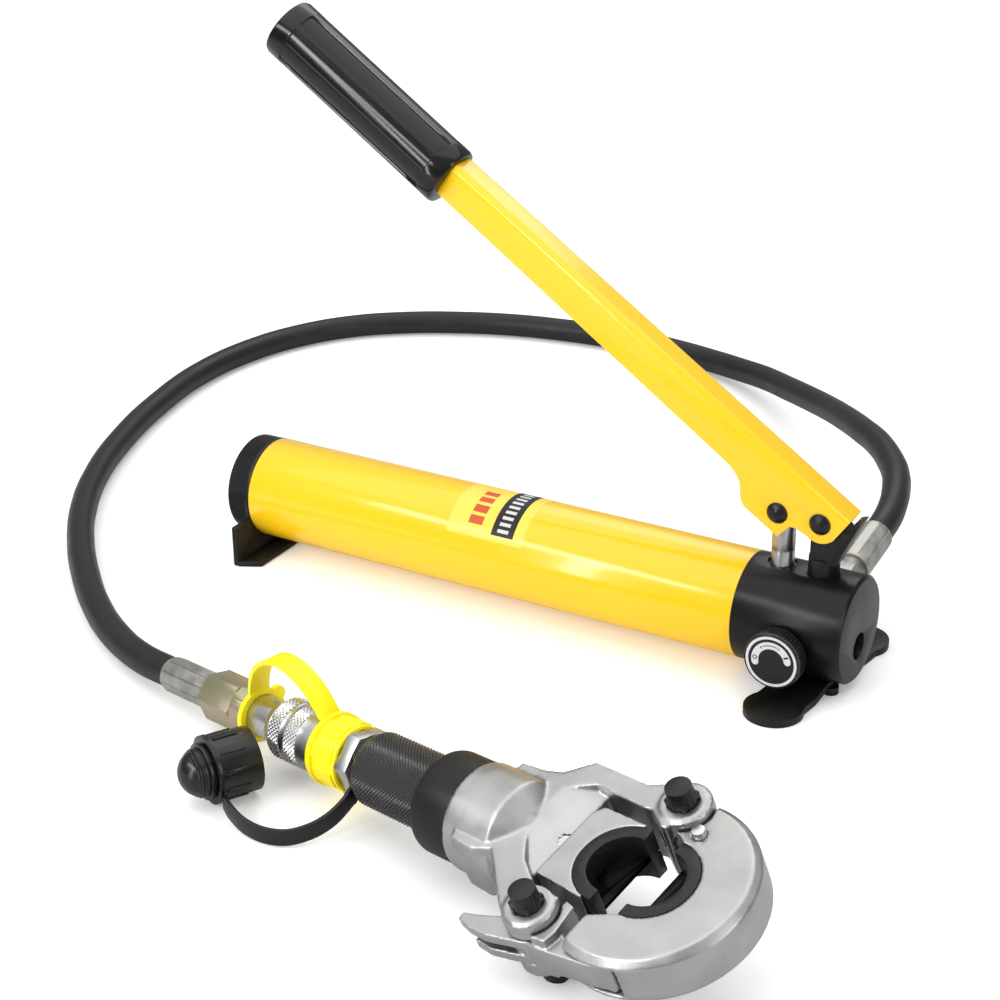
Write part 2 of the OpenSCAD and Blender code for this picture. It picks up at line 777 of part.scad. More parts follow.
module black_cap() {
    cup_r = 15.6;
    cup_floor = 19;
    cup_end = 36.5;
    flange_r = 16.6;
    plug_r_out = 11.8;
    color("#1a1a1b") on_black_cap() difference() {
        union() {
            intersection() {
                translate([0, 0, plug_r_out]) sphere(r = plug_r_out);
                cylinder(r = plug_r_out, h = 9);
            }
            translate([0, 0, 8]) cylinder(r = plug_r_out, h = 8);
            translate([0, 0, 11]) cylinder(r = 13.6, h = 2);
            translate([0, 0, 14]) cylinder(r = flange_r, h = 2.6);
            translate([0, 0, 16]) cylinder(r = cup_r, h = cup_end - 16);
            for (k = [0 : 9]) rotate([0, 0, 36 * k]) translate([cup_r - 0.7, -1, 18]) cube([1.3, 2, 12]);
        }
        translate([0, 0, cup_floor]) cylinder(r = 13.2, h = 40);
    }
}

module black_cap_strap() {
    band = [[-0.9, -4], [0.9, -4], [0.9, 4], [-0.9, 4]];
    route = [
        [-186.5, -253.5, 8], [-181, -257, 6.5], [-170, -261.5, 5], [-158, -263, 4.6], [-147, -260, 5],
        [-139.5, -253, 6.5], [-135, -246.5, 8.8], [-132, -240, 12], [-130.3, -232.5, 15.9]
    ];
    thick = tether_gap - 4 * gap;
    color("#1a1a1b") {
        sweep(smooth_path(route, 4), band);
        along_head(hex_to - tether_gap + 2 * gap) {
            tube(neck_r + 3, neck_r + gap, thick);
            rotate([0, 0, -75.6]) translate([neck_r + 1, -4, 0]) cube([6, 8, thick]);
        }
    }
}

// ---- press head ----

module head_cylinder() {
    edge = 4;
    color("#1d1d1e") along_head(0) difference() {
        union() {
            translate([0, 0, hex_to]) cylinder(r1 = cyl_r - edge, r2 = cyl_r, h = edge);
            translate([0, 0, hex_to + edge]) cylinder(r = cyl_r, h = cyl_to - hex_to - edge);
            translate([0, 0, cyl_to]) cylinder(r = cyl_neck_r, h = rubber_to - cyl_to - gap);
            translate([0, 0, rubber_to - 1]) cylinder(r = 15.9, h = 9);
        }
        translate([0, 0, piston_back - 34]) cylinder(r = cyl_bore_r, h = 80);
        translate([0, 0, hex_to - 1]) cylinder(r = 8 + gap, h = 14);
        translate([0, 0, hex_to]) cylinder(r = 3, h = 40);
    }
}

module rubber_collar() {
    round_r = 6;
    length = rubber_to - cyl_to - 0.3;
    inner = cyl_neck_r + gap;
    color("#1a1a1a") along_head(cyl_to + 0.2) difference() {
        union() {
            cylinder(r = rubber_r - round_r, h = round_r);
            translate([0, 0, round_r]) cylinder(r = rubber_r, h = length - round_r);
            rotate_extrude() translate([rubber_r - round_r, round_r]) circle(r = round_r);
        }
        translate([0, 0, -1]) cylinder(r = inner, h = length + 2);
    }
}

// Plan outline of the fork: two arms around a window that is open to the front
module fork_outline() {
    difference() {
        union() {
            polygon([
                [-94, 24], [-80, 25.5], [-72.3, 28], [-62.4, 39], [-32.3, 38.6], [-14, 48.6], [-8, 26],
                [-25, -26], [-26, -46], [-37.8, -48.5], [-47, -42], [-55.3, -35.3], [-71.3, -21], [-80, -25],
                [-94, -24]
            ]);
            translate(hinge_at) circle(r = ear_boss_r);
            translate(latch_at) circle(r = ear_boss_r - 0.3);
        }
        polygon([
            [wall_front, 20.6], [-52.8, 28.6], [-25.3, 27.3], [-21.5, 27.8], [-12, 22], [20, 22], [20, -40],
            [-24, -27.5], [-40, -27], [-53.3, -18.2], [wall_front, -3.2]
        ]);
    }
}

// Sloping shoulder of the fork behind the jaw; the ram's bore breaks through its foot
module ram_shoulder() {
    front = jaw_back - 1;
    back = wall_front - 1;
    on_head() intersection() {
        rotate([90, 0, 0]) linear_extrude(80, center = true) polygon([
            [back, -ear_out], [wall_front, -ear_out], [front, -shoulder_half], [front, shoulder_half],
            [wall_front, ear_out], [back, ear_out]
        ]);
        translate([0, 0, -ear_out]) linear_extrude(2 * ear_out) polygon([
            [back, 22], [-53.5, 30], [front, 30], [front, -23.5], [-54, -20], [back, -5]
        ]);
    }
}

module head_fork() {
    front_cyl = -75;
    color("#b9babb") difference() {
        union() {
            along_head(rubber_to) cylinder(r = body_r, h = front_cyl - rubber_to);
            along_head(front_cyl) cylinder(r1 = body_r, r2 = ear_out + 1, h = wall_front - front_cyl);
            on_head() translate([0, 0, -ear_out]) linear_extrude(2 * ear_out) fork_outline();
            ram_shoulder();
            for (at = [hinge_at, latch_at]) on_head() translate([at[0], at[1], -ear_boss])
                cylinder(r = 10.5, h = 2 * ear_boss);
        }
        // Slots for the C-shaped head's lug and for the latch
        on_head() translate([hinge_at[0], hinge_at[1], -ear_in]) cylinder(r = lug_r + 1.2, h = 2 * ear_in);
        on_head() translate([latch_at[0], latch_at[1], -ear_in]) cylinder(r = 19, h = 2 * ear_in);
        on_head() for (at = [hinge_at, latch_at]) translate([at[0], at[1], -30])
            cylinder(r = pin_r + 0.02, h = 60);
        // Bores for the cylinder's spigot, the return spring and the ram
        along_head(rubber_to - 1) cylinder(r = 15.9 + gap, h = wall_back - rubber_to + 1);
        along_head(wall_back - 1) cylinder(r = ram_r + run, h = jaw_back - wall_back + 2);
    }
}

module ram() {
    color("#9a9c9f") {
        along_head(piston_back) cylinder(r = cyl_bore_r - run, h = 2.8);
        along_head(piston_back + 2.8) cylinder(r = cyl_bore_r - 2.6, h = 4.4);
        along_head(piston_back + 7.2) cylinder(r = cyl_bore_r - run, h = 2.8);
        along_head(piston_front - 0.1) cylinder(r = ram_r, h = jaw_back - piston_front);
        along_head(jaw_back - 1) cylinder(r = 6, h = 6);
    }
}

module ram_seal() {
    color("#111111") along_head(piston_back + 2.85) tube(cyl_bore_r - run, cyl_bore_r - 2.55, 4.3);
}

// The return spring, drawn at the length it has when the ram is fully out
module ram_return_spring() {
    color("#8f9296") along_head(wall_back - 12) coil(ram_r + 2.6, spring_wire, 3, 11.9);
}

module jaw_outline() {
    difference() {
        polygon([
            [jaw_back, -20], [-open_gap - 4.5, -21.9], [-open_gap - 4.5, 21.9], [-43.5, 21.9], [jaw_back, 17]
        ]);
        translate([-open_gap, 0]) circle(r = die_r + gap);
    }
}

module moving_jaw() {
    color("#c2c3c5") difference() {
        on_head() translate([0, 0, -die_half]) linear_extrude(die_h) jaw_outline();
        along_head(jaw_back - 1) cylinder(r = 6 + gap, h = 6.3);
    }
}

// Half a press die, its face towards +X at the origin
module half_die() {
    groove = 1.6;
    difference() {
        intersection() {
            translate([0, 0, -die_half]) cylinder(r = die_r, h = die_h);
            translate([-die_r - 1, -die_r - 1, -die_half - 1]) cube([die_r + 1, 2 * die_r + 2, die_h + 2]);
        }
        translate([0, 0, -die_half - 1]) cylinder(d = die_bore, h = die_h + 2);
        translate([0, 0, -groove / 2]) tube(die_r + 1, die_r - 1.2, groove);
    }
}

module moving_die() {
    color("#1d1d1f") on_head() translate([-open_gap, 0, 0]) half_die();
}

module fixed_die() {
    color("#1d1d1f") on_head() rotate([0, 0, 180]) half_die();
}

// Plan outline of the C-shaped head at radius r
module c_outline(r) {
    difference() {
        intersection() {
            circle(r = r);
            translate([-12, -60]) square([80, 120]);
        }
        circle(r = die_r + gap);
        polygon([[0, -die_r - gap], [-12.2, -27.7], [-20, -27.7], [-20, 27], [-11, 25.5], [-4, 23.4], [0, die_r + gap]]);
    }
}

module c_head() {
    bevel = 3.2;
    notch_half = 7.5;
    color("#c2c3c5") on_head() difference() {
        union() {
            intersection() {
                translate([0, 0, -die_half]) linear_extrude(die_h) c_outline(c_r);
                union() {
                    translate([0, 0, -die_half]) cylinder(r1 = c_r - bevel, r2 = c_r, h = bevel);
                    translate([0, 0, bevel - die_half]) cylinder(r = c_r, h = die_h - 2 * bevel);
                    translate([0, 0, die_half - bevel]) cylinder(r1 = c_r, r2 = c_r - bevel, h = bevel);
                }
            }
            translate([hinge_at[0], hinge_at[1], -lug_half]) cylinder(r = lug_r, h = 2 * lug_half);
        }
        // Clearance for the fork's ears around the hinge
        for (z = [lug_half, -lug_half - 20]) translate([hinge_at[0], hinge_at[1], z])
            cylinder(r = ear_boss_r + 0.8, h = 20);
        translate([hinge_at[0], hinge_at[1], -30]) cylinder(r = pin_r + run, h = 60);
        // Notch for the latch's hook, with the catch that the hook's tooth drops behind
        translate([-13, -60, -notch_half]) cube([28, 21, 2 * notch_half]);
        translate([5, -60, -notch_half]) cube([10, 23, 2 * notch_half]);
        translate([button_at[0], button_at[1], 5]) cylinder(r = 3 + run, h = 20);
    }
}

// A head pin: shaft, square collar and round cap above, plain end and clip below
module head_pin(at) {
    on_head() translate([at[0], at[1], 0]) {
        translate([0, 0, pin_low]) cylinder(r = pin_r, h = ear_boss - pin_low + 5);
        translate([-5.3, -5.3, ear_boss + gap]) cube([10.6, 10.6, 3.4]);
        translate([0, 0, ear_boss + 4.6]) cylinder(r = 5.8, h = 4.2);
        translate([0, 0, -ear_boss - 2.4]) cylinder(r = 8.4, h = 2.2);
    }
}

module hinge_pin() {
    color("#17171a") head_pin(hinge_at);
}

module latch_pin() {
    color("#17171a") head_pin(latch_at);
}

module latch_tail() {
    difference() {
        union() {
            translate([0, 0, -lug_half]) linear_extrude(2 * lug_half)
                polygon([[-40, -38], [-50, -43], [-58, -46.5], [-57.5, -52.8], [-48, -53.4], [-30, -49], [-30, -38]]);
            translate([0, 0, 2]) linear_extrude(lug_half - 2)
                polygon([[-50, -43], [-57, -46], [-65, -48.6], [-64.4, -52], [-57, -53.6], [-48, -53.4]]);
        }
        translate([-70, -60, -2]) cube([39, 40, 4]);
    }
}

module latch() {
    rib_half = 11.2;
    color("#b4b5b7") on_head() difference() {
        union() {
            translate([latch_at[0], latch_at[1], -lug_half]) cylinder(r = 11.4, h = 2 * lug_half);
            latch_tail();
            // Web and hook bar, with the tooth at its end
            translate([0, 0, -lug_half]) linear_extrude(2 * lug_half) polygon([
                [-34, -48.4], [-22, -48.4], [-8, -46.4], [1.5, -45.1], [11.3, -42.6], [12, -41], [12, -37.6],
                [8, -37.6], [8, -39.6], [-14, -39.6], [-18, -37], [-19.5, -26], [-25, -26], [-34, -30]
            ]);
            // Load-bearing rib that stands in front of the ears
            difference() {
                translate([0, 0, -rib_half]) linear_extrude(2 * rib_half)
                    polygon([[-24.4, -25.5], [-19.5, -26.5], [-17.6, -40], [-18.5, -46.5], [-26, -47.5]]);
                translate([latch_at[0], latch_at[1], -30]) cylinder(r = ear_boss_r + 0.4, h = 60);
            }
        }
        translate([latch_at[0], latch_at[1], -30]) cylinder(r = pin_r + run, h = 60);
    }
}

module die_lock_button() {
    color("silver") on_head() translate([button_at[0], button_at[1], 8]) cylinder(r = 3, h = 7);
}

pump_block();
reservoir_barrel();
rear_end_cap();
block_seal_ring();
cap_seal_ring();
tie_rod();
tie_rod_nut();
breather_plug();
suction_strainer();
suction_ball();
delivery_ball();
front_foot();
front_foot_screws();
rear_foot();
fulcrum_bracket();
fulcrum_pin();
lever_arm();
lever_grip();
piston_pin();
piston_rod();
rod_gland();
rod_seal();
release_knob();
release_dial();
release_spindle();
release_ball();
relief_ball();
relief_spring();
relief_screw();
outlet_nut();
pump_ferrule();
hose();
coupler_ferrule();
hose_nut();
coupler_socket();
socket_poppet();
lock_collar();
coupler_plug();
plug_poppet();
yellow_cap();
yellow_strap();
black_cap();
black_cap_strap();
head_cylinder();
rubber_collar();
head_fork();
ram();
ram_seal();
ram_return_spring();
moving_jaw();
moving_die();
fixed_die();
c_head();
hinge_pin();
latch_pin();
latch();
die_lock_button();
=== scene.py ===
"""Looks of the hydraulic pipe-press set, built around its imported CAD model.

The pieces' lengths are in mm and are multiplied by MM. The camera, the lights, the floor and what comes
from the frame are in metres. Angles are given in degrees."""

import json
import math

import bmesh
import bpy
from mathutils import Matrix, Vector

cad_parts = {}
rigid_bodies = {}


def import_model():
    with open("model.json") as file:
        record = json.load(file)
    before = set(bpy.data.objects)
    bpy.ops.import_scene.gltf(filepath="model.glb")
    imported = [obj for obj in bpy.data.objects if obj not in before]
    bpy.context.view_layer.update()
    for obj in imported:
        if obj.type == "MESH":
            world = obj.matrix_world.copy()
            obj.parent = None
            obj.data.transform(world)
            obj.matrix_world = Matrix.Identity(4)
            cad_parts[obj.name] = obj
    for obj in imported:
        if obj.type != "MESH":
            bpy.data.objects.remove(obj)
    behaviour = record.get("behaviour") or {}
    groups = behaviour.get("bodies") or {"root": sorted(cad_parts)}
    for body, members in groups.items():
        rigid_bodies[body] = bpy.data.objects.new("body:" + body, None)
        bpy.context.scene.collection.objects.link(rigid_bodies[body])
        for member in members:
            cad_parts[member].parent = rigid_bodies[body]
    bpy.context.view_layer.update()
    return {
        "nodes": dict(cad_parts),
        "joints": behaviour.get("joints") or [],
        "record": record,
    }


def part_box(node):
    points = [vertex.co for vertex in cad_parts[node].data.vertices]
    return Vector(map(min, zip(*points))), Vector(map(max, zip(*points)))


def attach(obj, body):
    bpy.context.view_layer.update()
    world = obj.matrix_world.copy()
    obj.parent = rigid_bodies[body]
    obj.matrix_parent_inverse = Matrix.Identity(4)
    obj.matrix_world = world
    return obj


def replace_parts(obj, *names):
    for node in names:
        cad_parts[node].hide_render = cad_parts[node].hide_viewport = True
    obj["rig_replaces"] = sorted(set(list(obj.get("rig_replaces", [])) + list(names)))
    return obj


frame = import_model()

MM = 0.001
nodes = frame["nodes"]
joints = {joint["name"]: joint for joint in frame["joints"]}
mounts = {mount["name"]: mount for mount in frame["record"]["mounts"]}
body_of = {
    name: body
    for body, names in frame["record"]["behaviour"]["bodies"].items()
    for name in names
}
slot_of = {part["node"]: part["material_slot"] for part in frame["record"]["subparts"]}


# ---- camera ----

CAMERA_AZIMUTH = 30.52
CAMERA_ELEVATION = 24.82
CAMERA_ROLL = -0.55
CAMERA_PLACE = (0.3522, -0.9143, 0.5499)
FOCAL_LENGTH = 77.32
SENSOR_WIDTH = 36
VIEW_DEPTH = 20


def add_camera():
    """The camera, which looks along its azimuth and down its elevation, with a slight roll."""
    azimuth = math.radians(CAMERA_AZIMUTH)
    elevation = math.radians(CAMERA_ELEVATION)
    roll = math.radians(CAMERA_ROLL)
    forward = Vector((
        -math.sin(azimuth) * math.cos(elevation),
        math.cos(azimuth) * math.cos(elevation),
        -math.sin(elevation),
    ))
    right = Vector((math.cos(azimuth), math.sin(azimuth), 0))
    up = right.cross(forward)
    turned_right = math.cos(roll) * right + math.sin(roll) * up
    turned_up = math.cos(roll) * up - math.sin(roll) * right
    data = bpy.data.cameras.new("camera")
    data.lens = FOCAL_LENGTH
    data.sensor_width = SENSOR_WIDTH
    data.clip_end = VIEW_DEPTH
    camera = bpy.data.objects.new("camera", data)
    turn = Matrix((turned_right, turned_up, -forward)).transposed()
    camera.matrix_world = Matrix.Translation(CAMERA_PLACE) @ turn.to_4x4()
    bpy.context.scene.collection.objects.link(camera)
    bpy.context.scene.camera = camera


add_camera()


# ---- materials ----

# Most of a noise texture's values lie in this range
NOISE_RANGE = (0.3, 0.7)
# Pointiness at which an edge starts to wear, and at which it is fully worn
WEAR_RANGE = (0.52, 0.60)
GRAIN_DEPTH = 0.4 * MM
SMOOTHEST = 0.02
COAT_ROUGHNESS = 0.08
# Sockets of a Mix node that mixes colours
MIX_FACTOR, MIX_A, MIX_B, MIX_RESULT = 0, 6, 7, 2


def noise(tree, coordinates, scale, detail):
    """The value of a noise texture."""
    texture = tree.nodes.new("ShaderNodeTexNoise")
    texture.inputs["Scale"].default_value = scale
    texture.inputs["Detail"].default_value = detail
    tree.links.new(coordinates, texture.inputs["Vector"])
    return texture.outputs["Fac"]


def map_range(tree, value, source, target):
    """A value carried over from one range to another."""
    node = tree.nodes.new("ShaderNodeMapRange")
    node.inputs["From Min"].default_value, node.inputs["From Max"].default_value = source
    node.inputs["To Min"].default_value, node.inputs["To Max"].default_value = target
    tree.links.new(value, node.inputs["Value"])
    return node.outputs["Result"]


def mottled(tree, value, color, second, tint):
    """A colour that varies with a noise value between a darker shade and a lighter or second one."""
    ramp = tree.nodes.new("ShaderNodeValToRGB")
    dark, light = ramp.color_ramp.elements
    dark.position, light.position = NOISE_RANGE
    dark.color = [c * (1 - tint) for c in color] + [1]
    light.color = [min(1, c * (1 + tint)) for c in second or color] + [1]
    tree.links.new(value, ramp.inputs["Fac"])
    return ramp.outputs["Color"]


def worn(tree, color, wear, wear_color):
    """A colour that gives way to the worn one along convex edges."""
    geometry = tree.nodes.new("ShaderNodeNewGeometry")
    edge = map_range(tree, geometry.outputs["Pointiness"], WEAR_RANGE, (0, wear))
    mix = tree.nodes.new("ShaderNodeMix")
    mix.data_type = "RGBA"
    mix.inputs[MIX_B].default_value = [*wear_color, 1]
    tree.links.new(edge, mix.inputs[MIX_FACTOR])
    tree.links.new(color, mix.inputs[MIX_A])
    return mix.outputs[MIX_RESULT]


def grained(tree, value, strength):
    """A surface normal with a fine grain."""
    relief = tree.nodes.new("ShaderNodeBump")
    relief.inputs["Strength"].default_value = strength
    relief.inputs["Distance"].default_value = GRAIN_DEPTH
    tree.links.new(value, relief.inputs["Height"])
    return relief.outputs["Normal"]


def material(name, color, metallic=0.0, roughness=0.4, spread=0.08, tint=0.12, scale=60.0, bump=0.0,
             bump_scale=400.0, stretch=(1, 1, 1), coat=0.0, specular=0.5, wear=0.0, wear_color=None,
             second=None):
    """A procedural finish: mottled colour, uneven roughness and a fine surface bump."""
    made = bpy.data.materials.new(name)
    made.use_nodes = True
    tree = made.node_tree
    shader = tree.nodes["Principled BSDF"]
    shader.inputs["Metallic"].default_value = metallic
    shader.inputs["Specular IOR Level"].default_value = specular
    shader.inputs["Coat Weight"].default_value = coat
    shader.inputs["Coat Roughness"].default_value = COAT_ROUGHNESS
    place = tree.nodes.new("ShaderNodeTexCoord")
    mapping = tree.nodes.new("ShaderNodeMapping")
    mapping.inputs["Scale"].default_value = stretch
    tree.links.new(place.outputs["Object"], mapping.inputs["Vector"])
    coordinates = mapping.outputs["Vector"]
    mottle = noise(tree, coordinates, scale, detail=6)
    surface_color = mottled(tree, mottle, color, second, tint)
    if wear:
        surface_color = worn(tree, surface_color, wear, wear_color)
    tree.links.new(surface_color, shader.inputs["Base Color"])
    rough_range = (max(SMOOTHEST, roughness - spread), min(1, roughness + spread))
    tree.links.new(map_range(tree, mottle, NOISE_RANGE, rough_range), shader.inputs["Roughness"])
    if bump:
        grain = noise(tree, coordinates, bump_scale, detail=4)
        tree.links.new(grained(tree, grain, bump), shader.inputs["Normal"])
    return made


LOOKS = {
    "block_black": dict(
        color=(0.004, 0.004, 0.0045), roughness=0.29, spread=0.02, tint=0.15, scale=40, bump=0.03,
        bump_scale=900, stretch=(8, 1, 1), specular=0.26),
    "paint_yellow": dict(
        color=(0.93, 0.57, 0.008), roughness=0.24, spread=0.03, tint=0.02, scale=9, bump=0.03,
        bump_scale=160, coat=0.4, specular=0.4),
    "cap_black": dict(
        color=(0.009, 0.009, 0.0095), roughness=0.28, spread=0.06, tint=0.2, scale=90, bump=0.04,
        bump_scale=900),
    "seal": dict(
        color=(0.01, 0.01, 0.01), roughness=0.7, bump=0.1),
    "steel": dict(
        color=(0.50, 0.505, 0.515), metallic=1.0, roughness=0.30, spread=0.03, tint=0.03, scale=50),
    "foot_black": dict(
        color=(0.006, 0.006, 0.006), roughness=0.40, tint=0.2, scale=45, bump=0.10, bump_scale=500,
        specular=0.35),
    "oxide_black": dict(
        color=(0.008, 0.008, 0.009), roughness=0.34, spread=0.1, tint=0.25, scale=110, bump=0.10,
        bump_scale=900, specular=0.32, wear=0.12, wear_color=(0.10, 0.10, 0.11)),
    "grip_black": dict(
        color=(0.004, 0.004, 0.0045), roughness=0.15, spread=0.03, tint=0.2, scale=50, bump=0.03,
        bump_scale=500, specular=0.4),
    "dial": dict(
        color=(0.010, 0.010, 0.011), spread=0.06, tint=0.1, scale=80, bump=0.06, bump_scale=900,
        specular=0.3),
    "zinc_dull": dict(
        color=(0.37, 0.365, 0.34), metallic=0.85, roughness=0.40, spread=0.12, tint=0.3, scale=90,
        bump=0.25, bump_scale=450),
    "zinc_yellow": dict(
        color=(0.37, 0.39, 0.22), metallic=0.75, roughness=0.36, spread=0.1, tint=0.10, scale=45,
        bump=0.12, bump_scale=350, second=(0.44, 0.33, 0.26)),
    "hose_rubber": dict(
        color=(0.013, 0.013, 0.014), spread=0.06, bump=0.08, bump_scale=600, specular=0.28),
    "nickel": dict(
        color=(0.56, 0.57, 0.58), metallic=1.0, roughness=0.31, spread=0.06, tint=0.05, scale=80,
        bump=0.05, bump_scale=700),
    "cap_yellow": dict(
        color=(1.0, 0.80, 0.0), roughness=0.36, spread=0.06, tint=0.03, scale=40, bump=0.08,
        bump_scale=300, specular=0.4),
    "cap_plastic": dict(
        color=(0.004, 0.004, 0.0045), roughness=0.28, spread=0.07, tint=0.2, bump=0.1, bump_scale=500,
        specular=0.45),
    "forged": dict(
        color=(0.43, 0.43, 0.425), metallic=1.0, roughness=0.38, spread=0.12, tint=0.15, scale=55,
        bump=0.2, bump_scale=1400, wear=0.4, wear_color=(0.72, 0.72, 0.72)),
    "knurl_black": dict(
        color=(0.009, 0.009, 0.0095), roughness=0.28, spread=0.06, tint=0.2, scale=90, bump=0.04,
        bump_scale=900, specular=0.55),
    "rubber_black": dict(
        color=(0.007, 0.007, 0.007), roughness=0.44, spread=0.06, tint=0.2, bump=0.08, bump_scale=700,
        specular=0.28),
    "label_pale": dict(
        color=(0.90, 0.66, 0.07), roughness=0.32, spread=0.05, tint=0.02, scale=30, bump=0.04,
        bump_scale=300, coat=0.2),
    "label_black": dict(
        color=(0.012, 0.012, 0.013), spread=0.05, tint=0.1, bump=0.04, bump_scale=300, specular=0.3),
    "label_red": dict(
        color=(0.60, 0.07, 0.010), roughness=0.35, spread=0.05, tint=0.06, bump=0.04, bump_scale=300),
    "label_white": dict(
        color=(0.62, 0.62, 0.62), spread=0.05, tint=0.03, bump=0.04, bump_scale=300),
}
FINISHES = {name: material(name, **look) for name, look in LOOKS.items()}


# ---- hose ----

HOSE_DIAMETER = 16
# From the pump to the coupler, as the CAD tube has it
HOSE_ROUTE = [
    (-1.2, 83.4, 47.25), (-1.5, 98, 49.3), (-4, 114, 51), (-9, 132, 52), (-16, 150, 52.4),
    (-26, 168, 52), (-43, 193, 50), (-62, 216.5, 46), (-81, 239.5, 41), (-101, 263, 35),
    (-125, 288, 28.5), (-149, 311, 22.5), (-176, 335, 16.5), (-203, 352, 12), (-230, 364, 9.4),
    (-258, 371.5, 8.4), (-290, 375, 8.2), (-322, 374, 8.2), (-353, 370, 8.2), (-383, 363.5, 8.2),
    (-424, 348, 8.2), (-461, 327, 8.2), (-490, 301.5, 8.2), (-511.5, 268, 8.2), (-525, 226, 8.2),
    (-528.5, 174, 8.2), (-519.5, 117, 8.2), (-501.5, 56, 8.2), (-479, 4, 8.2), (-453.5, -38, 8.2),
    (-425, -74, 8.2), (-394, -106, 8.2), (-365, -131.5, 8.2), (-335, -152.5, 8.9),
    (-304, -168.3, 10.7), (-276.5, -176.5, 12.95),
]


def add_hose():
    """The free hose, a round curve along its route."""
    points = [Vector(point) * MM for point in HOSE_ROUTE]
    diameter = HOSE_DIAMETER * MM
    curve = bpy.data.curves.new("hose_run", "CURVE")
    curve.dimensions = "3D"
    curve.resolution_u = 8
    curve.bevel_depth = diameter / 2
    curve.bevel_resolution = 6
    curve.use_fill_caps = True
    spline = curve.splines.new("BEZIER")
    spline.bezier_points.add(len(points) - 1)
    for knot, point in zip(spline.bezier_points, points):
        knot.co = point
        knot.handle_left_type = "AUTO"
        knot.handle_right_type = "AUTO"
    curve.materials.append(FINISHES["hose_rubber"])
    hose = bpy.data.objects.new("hose_run", curve)
    bpy.context.scene.collection.objects.link(hose)
    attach(hose, body_of["hose"])
    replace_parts(hose, "hose")


add_hose()


# ---- frames to build in ----

SIDEWAYS = Matrix.Rotation(math.radians(90), 4, "Y")
barrel_low, barrel_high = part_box("reservoir_barrel")
PUMP_AXIS_HEIGHT = (barrel_low.z + barrel_high.z) / 2
BARREL_RADIUS = (barrel_high.z - barrel_low.z) / 2 / MM
# A turn about X from upright, which leaves the outlet 9 degrees above level
PORT_TURN = -81


def head_place():
    """The press head's frame: X to the nose, Y to the hinge, Z along the pins, at the fixed die's face."""
    x = Vector(joints["lock_collar_turn"]["axis"]).normalized()
    z = Vector(joints["c_head_swing"]["axis"]).normalized()
    y = z.cross(x)
    turn = Matrix((x, y, z)).transposed().to_4x4()
    return Matrix.Translation(mounts["crimp_opening"]["pos_m"]) @ turn


HEAD = head_place()


def on_head_axis(station):
    """A frame whose Z runs along the head's axis, from a station in mm."""
    return HEAD @ Matrix.Translation((station * MM, 0, 0)) @ SIDEWAYS


def on_pump_axis(station):
    """A frame whose Z runs along the pump's axis, from a station in mm."""
    return Matrix.Translation((station * MM, 0, PUMP_AXIS_HEIGHT)) @ SIDEWAYS


def on_port_axis(reach):
    """A frame whose Z runs along the pump's outlet, from `reach` mm off the pump's axis."""
    low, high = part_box("pump_ferrule")
    start = Vector(((low.x + high.x) / 2, 0, PUMP_AXIS_HEIGHT))
    tilt = Matrix.Rotation(math.radians(PORT_TURN), 4, "X")
    return Matrix.Translation(start) @ tilt @ Matrix.Translation((0, 0, reach * MM))


# ---- mesh helpers ----

def dress(obj, node, finish=None, replaces=True):
    """Gives a piece its body and its finish, and lets it stand for the CAD node if told to."""
    obj.data.materials.clear()
    obj.data.materials.append(finish or FINISHES[slot_of[node]])
    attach(obj, body_of[node])
    if replaces:
        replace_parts(obj, node)
    return obj


def shade(mesh, angle):
    """Smooth shading, with the edges that are sharper than the angle left sharp."""
    mesh.shade_smooth()
    mesh.set_sharp_from_angle(angle=math.radians(angle))


def linked(name, data):
    """A new object in the scene with the given mesh or light."""
    obj = bpy.data.objects.new(name, data)
    bpy.context.scene.collection.objects.link(obj)
    return obj


def weld(mesh, distance):
    """Joins a mesh's doubled points, and turns its faces outward."""
    work = bmesh.new()
    work.from_mesh(mesh)
    bmesh.ops.remove_doubles(work, verts=work.verts, dist=distance)
    bmesh.ops.recalc_face_normals(work, faces=work.faces)
    work.to_mesh(mesh)
    work.free()


def mesh_piece(name, points, faces, place, angle):
    """A mesh object from points in mm in the frame `place`."""
    mesh = bpy.data.meshes.new(name)
    mesh.from_pydata([place @ (Vector(point) * MM) for point in points], [], faces)
    mesh.validate()
    weld(mesh, 0.0001 * MM)
    shade(mesh, angle)
    return linked(name, mesh)


def lathe(name, profile, around, place, angle, radius_at=None, pyramids=False):
    """A turned piece from (radius, height) pairs, a closed loop if the last pair repeats the first.

    radius_at shifts a row's radius by angle: it is given the radius, the angle and the row. With pyramids,
    each face is split along the diagonal that a diamond knurl's valleys take."""
    points = []
    for row, (radius, height) in enumerate(profile):
        for step in range(around):
            turn = 2 * math.pi * step / around
            r = radius_at(radius, turn, row) if radius_at else radius
            points.append((r * math.cos(turn), r * math.sin(turn), height))
    faces = []
    for row in range(len(profile) - 1):
        for step in range(around):
            after = (step + 1) % around
            a, b = row * around + step, row * around + after
            c, d = (row + 1) * around + after, (row + 1) * around + step
            if not pyramids:
                faces.append((a, b, c, d))
            elif (row + step) % 2:
                faces += [(a, b, d), (b, c, d)]
            else:
                faces += [(a, b, c), (a, c, d)]
    if profile[0] != profile[-1]:
        last = (len(profile) - 1) * around
        faces.append(tuple(range(around - 1, -1, -1)))
        faces.append(tuple(last + step for step in range(around)))
    return mesh_piece(name, points, faces, place, angle)


def triangle_wave(value):
    """Rises from 0 to 1 and falls back to 0 over each whole number."""
    return 1 - abs(2 * (value % 1) - 1)


# A diamond knurl's pyramid is this many steps round and this many rows long
PYRAMID = 4
# Below 1, the pyramids' flanks bulge
PYRAMID_POWER = 0.85


